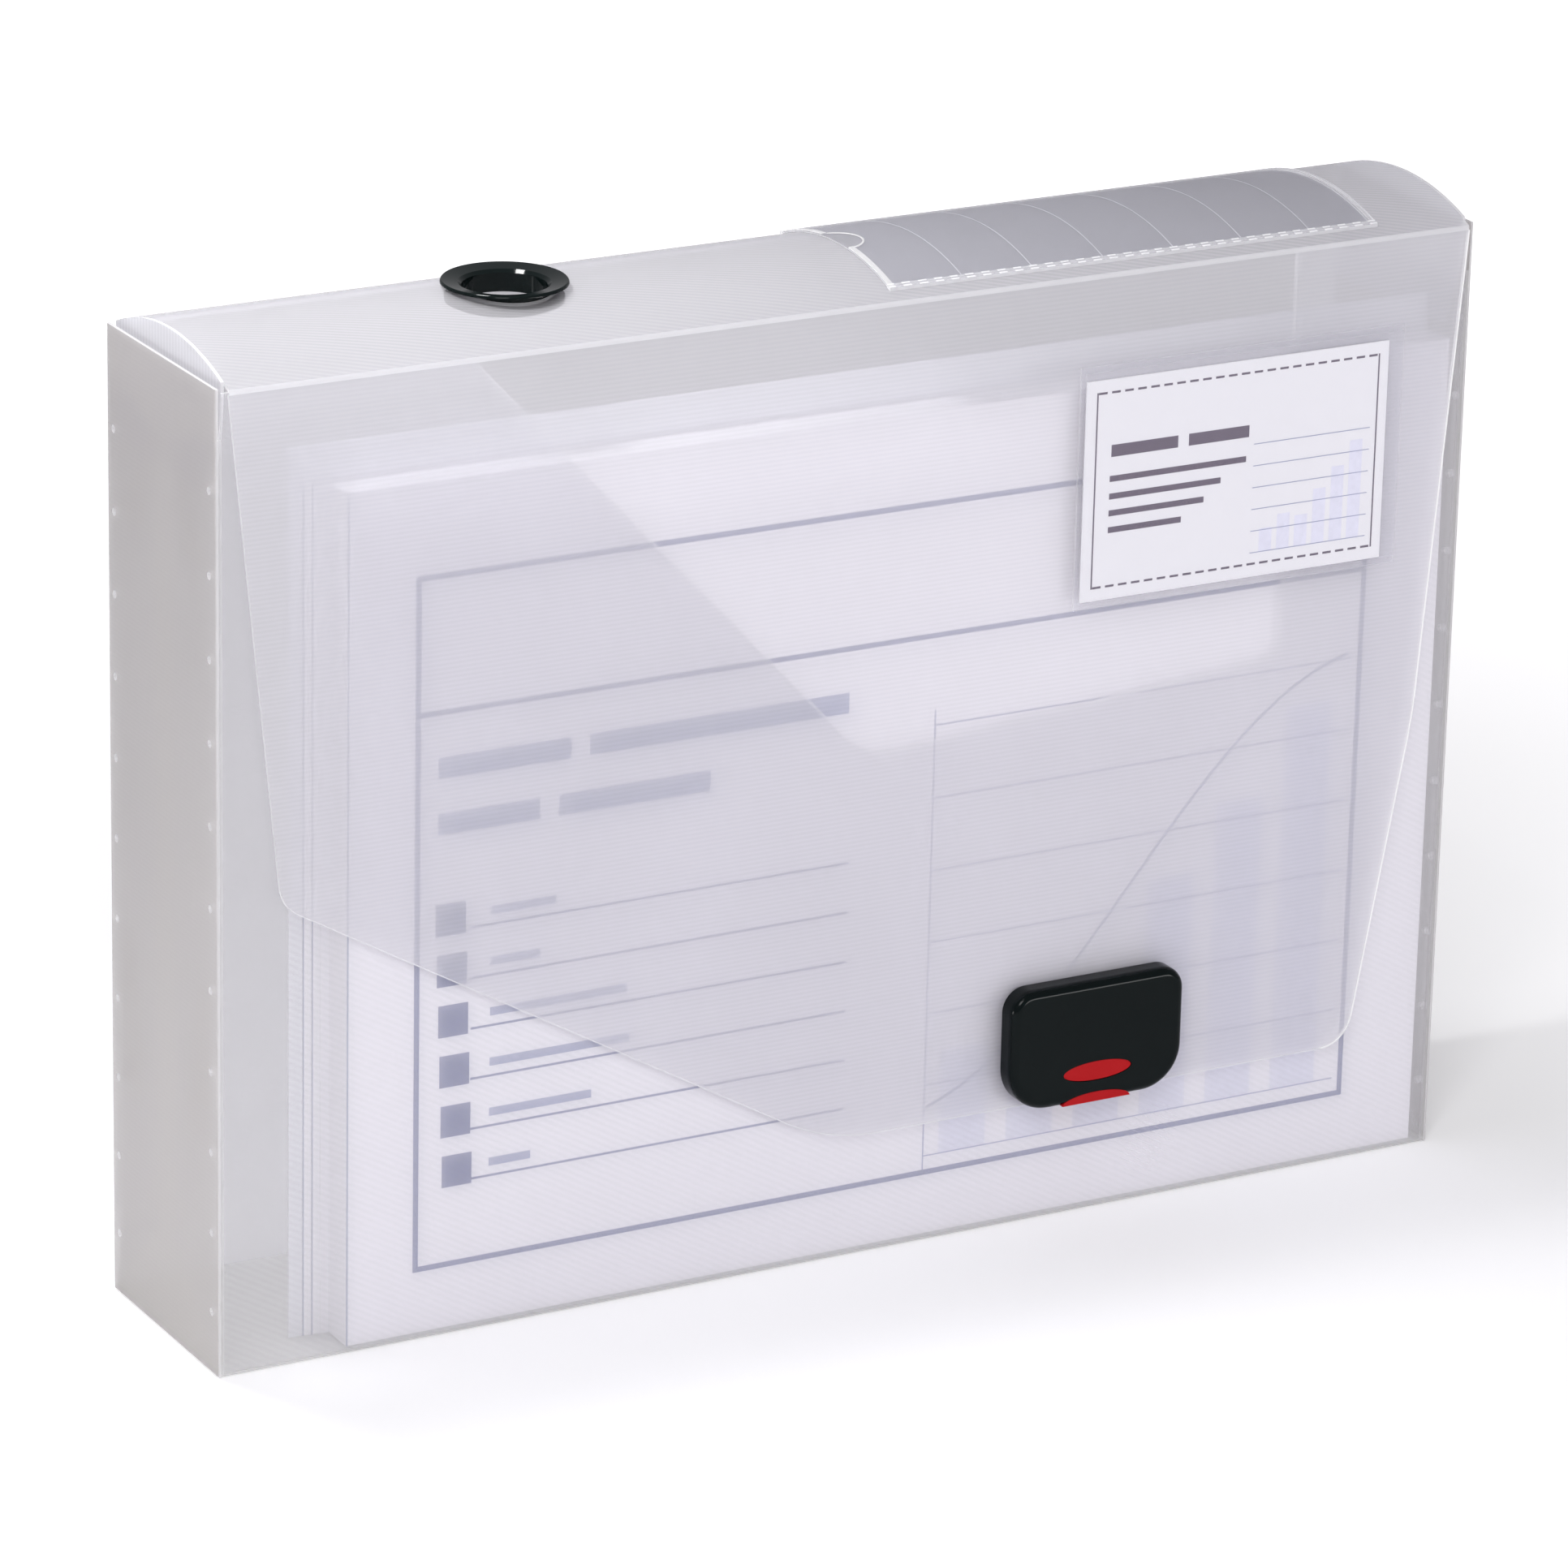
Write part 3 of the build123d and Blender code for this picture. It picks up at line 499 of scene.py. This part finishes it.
def fold_web(name, side):
    """A rounded web along one top fold: side is 1 for the back fold and -1 for the front one."""
    section = [(30.5, 238.9), (30.5, 239.55), (30.42, 239.85), (30.2, 240.13), (30.2, 239.3),
               (29.95, 239.12), (29.7, 238.9)]
    left_end, length = -0.1648, 0.3296
    line = bpy.data.curves.new(name, "CURVE")
    line.dimensions = "3D"
    run = line.splines.new("POLY")
    run.points.add(len(section) - 1)
    for point, (y, z) in zip(run.points, section):
        point.co = (left_end, side * y / 1000, z / 1000, 1)
    run.use_cyclic_u = True
    web = bpy.data.objects.new(name, line)
    bpy.context.scene.collection.objects.link(web)
    bpy.ops.object.select_all(action="DESELECT")
    web.select_set(True)
    bpy.context.view_layer.objects.active = web
    bpy.ops.object.convert(target="MESH")
    bpy.ops.object.mode_set(mode="EDIT")
    bpy.ops.mesh.select_all(action="SELECT")
    bpy.ops.mesh.edge_face_add()
    bpy.ops.mesh.extrude_region_move(TRANSFORM_OT_translate={"value": (length, 0, 0)})
    bpy.ops.mesh.select_all(action="SELECT")
    bpy.ops.mesh.normals_make_consistent(inside=False)
    bpy.ops.object.mode_set(mode="OBJECT")
    web.data.materials.append(fold_sheet)
    bpy.ops.object.shade_smooth_by_angle(angle=math.radians(50))
    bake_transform(web)


fold_web("back_fold", 1)
fold_web("front_fold", -1)


# Finger ring and its collar: glossy black mouldings that snap together through the hole in the spine.
def moulding(name, colour, rough, spec=0.5):
    """Moulded plastic with a faint unevenness in its gloss."""
    plastic = bpy.data.materials.new(name)
    plastic.use_nodes = True
    tree = plastic.node_tree
    skin = tree.nodes["Principled BSDF"]
    skin.inputs["Base Color"].default_value = (*colour, 1)
    skin.inputs["Specular IOR Level"].default_value = spec
    place = tree.nodes.new("ShaderNodeTexCoord")
    orange_peel = tree.nodes.new("ShaderNodeTexNoise")
    orange_peel.inputs["Scale"].default_value = 420
    orange_peel.inputs["Detail"].default_value = 3
    tree.links.new(place.outputs["Object"], orange_peel.inputs["Vector"])
    gloss = tree.nodes.new("ShaderNodeMapRange")
    gloss.inputs["To Min"].default_value = 0.8 * rough
    gloss.inputs["To Max"].default_value = 1.2 * rough
    tree.links.new(orange_peel.outputs["Fac"], gloss.inputs["Value"])
    tree.links.new(gloss.outputs[0], skin.inputs["Roughness"])
    relief = tree.nodes.new("ShaderNodeBump")
    relief.inputs["Strength"].default_value = 0.12
    relief.inputs["Distance"].default_value = 0.00005
    tree.links.new(orange_peel.outputs["Fac"], relief.inputs["Height"])
    tree.links.new(relief.outputs[0], skin.inputs["Normal"])
    return plastic


ring_black = moulding("ring_black", (0.004, 0.007, 0.007), 0.08, spec=0.12)
nodes["finger_ring"].material_slots[0].material = ring_black
nodes["ring_collar"].material_slots[0].material = ring_black


# Label: a grey-blue tinted strip, ruled into cells by pale cross lines, that slides in its pocket.
label_film = milky_sheet("label_film", across_z, across_x, clear=0.5, tint=(0.58, 0.58, 0.61), grain=0.003,
                         relief=0)
nodes["spine_label"].material_slots[0].material = label_film

arch_centre, arch_radius = 0.171692, 0.074808


def arched_strip(name, x0, x1, y0, y1, lift, thick):
    """A strip on the spine's arch from y0 to y1, spun about the arch's axis."""
    low = arch_radius + lift
    first, last = math.asin(y0 / low), math.asin(y1 / low)
    facet = 0.025
    bpy.ops.object.select_all(action="DESELECT")
    bpy.ops.mesh.primitive_plane_add(size=x1 - x0)
    strip = bpy.context.object
    strip.name = name
    bpy.ops.object.mode_set(mode="EDIT")
    bpy.ops.mesh.select_all(action="DESELECT")
    bpy.ops.object.mode_set(mode="OBJECT")
    for vertex in strip.data.vertices:
        vertex.select = vertex.co.y > 0
    bpy.ops.object.mode_set(mode="EDIT")
    bpy.ops.mesh.delete(type="VERT")
    bpy.ops.mesh.select_all(action="SELECT")
    bpy.ops.transform.translate(value=(
        (x0 + x1) / 2, (x1 - x0) / 2 + y0, arch_centre + low * math.cos(first)))
    bpy.ops.mesh.spin(steps=max(2, round((last - first) / facet)), angle=last - first,
                      center=(0, 0, arch_centre), axis=(1, 0, 0))
    bpy.ops.mesh.select_all(action="SELECT")
    bpy.ops.mesh.remove_doubles(threshold=0.000001)
    bpy.ops.mesh.normals_make_consistent(inside=False)
    bpy.ops.object.mode_set(mode="OBJECT")
    if strip.data.polygons[0].normal.z < 0:
        strip.data.flip_normals()
    shell = strip.modifiers.new("thickness", "SOLIDIFY")
    shell.thickness = thick
    shell.offset = 1
    bpy.ops.object.modifier_apply(modifier="thickness")
    return strip


label_rule = ink("label_rule_ink", (0.52, 0.525, 0.56))
for number, x in enumerate((0.026, 0.045, 0.0645, 0.084, 0.103, 0.122)):
    rule = arched_strip(f"label_rule_{number + 1}", x, x + 0.00035, -0.0248, 0.0248, 0.00041, 0.00003)
    rule.data.materials.append(label_rule)
    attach(rule, "label")


# Label pocket: clear film welded to the spine along three sides. Its left end is open, with a thumb notch.
clear_film = milky_sheet("clear_film", across_z, across_x, clear=0.94, tint=(0.85, 0.85, 0.9), grain=0,
                         relief=0, gloss=0.16, rim=0.6)
nodes["label_pocket"].material_slots[0].material = clear_film


# Weld lines of the label pocket: pairs of narrow ribs along its two long sides and its right end, where the
# film is pressed into the spine. They glint in even short dashes, and more faintly at the end.
weld_rib = bpy.data.materials.new("weld_rib")
weld_rib.use_nodes = True
tree = weld_rib.node_tree
rib = tree.nodes["Principled BSDF"]
rib.inputs["Base Color"].default_value = (0.93, 0.93, 0.95, 1)
rib.inputs["Roughness"].default_value = 0.2
place = tree.nodes.new("ShaderNodeTexCoord")
beat = tree.nodes.new("ShaderNodeTexWave")
beat.inputs["Scale"].default_value = 73
beat.inputs["Distortion"].default_value = 0.8
beat.inputs["Detail"].default_value = 1
glint = tree.nodes.new("ShaderNodeMapRange")
glint.inputs["From Min"].default_value = 0.3
glint.inputs["From Max"].default_value = 0.6
glint.inputs["To Min"].default_value = 0.12
glint.inputs["To Max"].default_value = 0.75
tree.links.new(place.outputs["Object"], beat.inputs["Vector"])
tree.links.new(beat.outputs["Fac"], glint.inputs["Value"])
tree.links.new(glint.outputs[0], rib.inputs["Alpha"])
ribs = [("front_weld_rib_outer", 6.0, 140.7, -26.7, -26.25),
        ("front_weld_rib_inner", 6.0, 140.7, -25.7, -25.3),
        ("back_weld_rib_outer", 6.0, 140.7, 26.25, 26.7),
        ("back_weld_rib_inner", 6.0, 140.7, 25.3, 25.7),
        ("end_weld_rib_inner", 139.3, 139.6, -26.0, 26.0),
        ("end_weld_rib_outer", 140.3, 140.6, -26.0, 26.0)]
for name, x0, x1, y0, y1 in ribs:
    strip = arched_strip(name, x0 / 1000, x1 / 1000, y0 / 1000, y1 / 1000, 0.00074, 0.00012)
    strip.data.materials.append(weld_rib)
    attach(strip, "spine")
faint_rib = weld_rib.copy()
faint_rib.name = "faint_weld_rib"
faint_rib.node_tree.nodes["Map Range"].inputs["To Min"].default_value = 0.05
faint_rib.node_tree.nodes["Map Range"].inputs["To Max"].default_value = 0.3
for name in ("end_weld_rib_inner", "end_weld_rib_outer"):
    bpy.data.objects[name].material_slots[0].material = faint_rib


# Cut edges: the thin rims of the sheet, which gather the light that travels inside it and show as pale
# lines. Each rim is a narrow band along the edge of its panel. The front wall's cut-out and the label
# pocket's mouth have theirs here, and the cover's follow with the cover.
def rim_look(name, cover, glow):
    """Pale edge of a sheet with a fine sparkle: cover is how much it hides, glow the light it gathers."""
    look = bpy.data.materials.new(name)
    look.use_nodes = True
    tree = look.node_tree
    rim = tree.nodes["Principled BSDF"]
    rim.inputs["Roughness"].default_value = 0.3
    rim.inputs["Alpha"].default_value = cover
    rim.inputs["Emission Color"].default_value = (1, 1, 1, 1)
    rim.inputs["Emission Strength"].default_value = glow
    place = tree.nodes.new("ShaderNodeTexCoord")
    sparkle = tree.nodes.new("ShaderNodeTexNoise")
    sparkle.inputs["Scale"].default_value = 240
    shade = tree.nodes.new("ShaderNodeMapRange")
    shade.inputs["To Min"].default_value = 0.88
    shade.inputs["To Max"].default_value = 1.0
    tree.links.new(place.outputs["Object"], sparkle.inputs["Vector"])
    tree.links.new(sparkle.outputs["Fac"], shade.inputs["Value"])
    tree.links.new(shade.outputs[0], rim.inputs["Base Color"])
    return look


def cut_rim(name, node, kept, body, deep, stretch, look):
    """A band over the faces of a panel's cut edge that kept(centre, normal) picks, in metres."""
    band = bpy.data.objects.new(name, nodes[node].data.copy())
    bpy.context.scene.collection.objects.link(band)
    bpy.ops.object.select_all(action="DESELECT")
    band.select_set(True)
    bpy.context.view_layer.objects.active = band
    bpy.ops.object.mode_set(mode="EDIT")
    bpy.ops.mesh.select_all(action="SELECT")
    bpy.ops.mesh.remove_doubles(threshold=0.000001)
    bpy.ops.mesh.select_mode(type="FACE")
    bpy.ops.mesh.select_all(action="DESELECT")
    bpy.ops.object.mode_set(mode="OBJECT")
    for face in band.data.polygons:
        face.select = not kept(face.center, face.normal)
    bpy.ops.object.mode_set(mode="EDIT")
    bpy.ops.mesh.delete(type="FACE")
    bpy.ops.mesh.select_mode(type="VERT")
    bpy.ops.mesh.select_all(action="SELECT")
    low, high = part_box(node)
    bpy.ops.transform.resize(value=stretch, center_override=(low + high) / 2)
    bpy.ops.object.mode_set(mode="OBJECT")
    wall = band.modifiers.new("thickness", "SOLIDIFY")
    wall.thickness = deep
    wall.offset = -0.8
    bpy.ops.object.modifier_apply(modifier="thickness")
    band.data.materials.clear()
    band.data.materials.append(look)
    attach(band, body)


cut_rim("cutout_rim", "front_wall",
        lambda centre, normal: abs(normal.y) < 0.5 and 0.1 < centre.z < 0.2385 and abs(centre.x) < 0.15,
        "box", 0.0004, (1, 1.12, 1), rim_look("cutout_edge", 0.3, 0.03))
cut_rim("pocket_mouth", "label_pocket",
        lambda centre, normal: normal.x < -0.2 and centre.x < 0.0128,
        "spine", 0.0005, (1, 1, 1), rim_look("film_rim", 0.5, 0.05))


# Mouth of the label pocket: the film's open edge is rolled to a narrow band, on each side of the notch. The
# band is drawn pale, a painted highlight along the roll.
rolled_film_painted_highlight = rim_look("rolled_film_painted_highlight", 0.4, 0)
for name, y0, y1 in (("front_mouth_band", -26.7, -6.4), ("back_mouth_band", 6.4, 26.7)):
    band = arched_strip(name, 0.0062, 0.0074, y0 / 1000, y1 / 1000, 0.00076, 0.00008)
    band.data.materials.append(rolled_film_painted_highlight)
    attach(band, "spine")


# Cover flap: the same sheet, hanging from the front fold, with a fine level grain. Its cut edge is painted
# brighter, with more cover and a glow, down the right side than along the sweep to the left: painted light.
cover_sheet = milky_sheet("cover_sheet", across_y, across_z, clear=0.68, tint=(0.88, 0.872, 0.9),
                          grain=0.008, relief=0.08, rim=0.4)
nodes["cover_flap"].material_slots[0].material = cover_sheet
cut_rim("cover_side_rim", "cover_flap",
        lambda centre, normal: abs(normal.y) < 0.5 and centre.x > 0.105 and centre.z < 0.2385,
        "cover", 0.0004, (1, 1.12, 1), rim_look("side_rim", 0.55, 0.12))
cut_rim("cover_lower_rim", "cover_flap",
        lambda centre, normal: abs(normal.y) < 0.5 and centre.x <= 0.105 and centre.z < 0.118 and not (
            abs(centre.x - 0.065) < 0.024 and 0.035 < centre.z < 0.07),
        "cover", 0.0003, (1, 1.12, 1), rim_look("lower_rim", 0.25, 0))


# Business card in its clear pocket: white card with a dashed border, plain bars and a small bar chart.
card_film = milky_sheet("card_film", across_y, across_x, clear=0.95, tint=(0.88, 0.88, 0.93), grain=0,
                        relief=0, gloss=0.2, rim=0.3)
nodes["card_pocket"].material_slots[0].material = card_film
card_stock = paper("card_stock", (0.84, 0.83, 0.86), False)
nodes["business_card"].material_slots[0].material = card_stock
card_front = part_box("business_card")[0].y * 1000
card_ink = ink("card_ink", (0.11, 0.085, 0.125))
dash_pitch = 3.62
dashes = [(x, 162.0, x + 0.4, 211.0) for x in (60.9, 140.1)]
for n in range(22):
    dashes += [(61.35 + dash_pitch * n, z, 63.75 + dash_pitch * n, z + 0.55) for z in (162.0, 210.45)]
print_and_shadow_layer("card_border", dashes, card_front, card_ink, "card")
card_bars = [(65.2, z, right_end, z + 1.5) for z, right_end in (
    (188.4, 103.4), (184.0, 96.4), (179.8, 91.8), (175.6, 85.6))]
print_and_shadow_layer("card_bars", card_bars, card_front, card_ink, "card")
card_name = [(65.4, 194.6, 84, 197.6), (87, 194.6, 104, 197.6)]
print_and_shadow_layer("card_name", card_name, card_front, card_ink, "card")
card_chart_foot = 165.0
card_columns = [(108 + 5 * n, card_chart_foot, 111.6 + 5 * n, card_chart_foot + tall)
                for n, tall in enumerate((6, 9, 8, 14, 19, 25))]
print_and_shadow_layer("card_columns", card_columns, card_front, lavender, "card")
card_grid = [(105.5, card_chart_foot + 5.5 * n, 138.5, card_chart_foot + 0.2 + 5.5 * n) for n in range(6)]
print_and_shadow_layer("card_grid", card_grid, card_front - 0.03, pale_slate, "card")


# Clasp: a black housing held by the pins of a backing plate, and the catch plate on the front wall.
clasp_black = moulding("clasp_black", (0.001, 0.0036, 0.0038), 0.15, spec=0.14)
for name in ("clasp_housing", "clasp_backing", "catch_plate", "catch_backing"):
    nodes[name].material_slots[0].material = clasp_black


# Latch: the red button and lip, one moulding, and the bowed steel strips that push it out.
latch_red = moulding("latch_red", (0.4, 0.006, 0.009), 0.45, spec=0.1)
nodes["red_latch"].material_slots[0].material = latch_red
steel = moulding("spring_strip", (0.55, 0.55, 0.56), 0.3)
steel.node_tree.nodes["Principled BSDF"].inputs["Metallic"].default_value = 1
nodes["latch_springs"].material_slots[0].material = steel
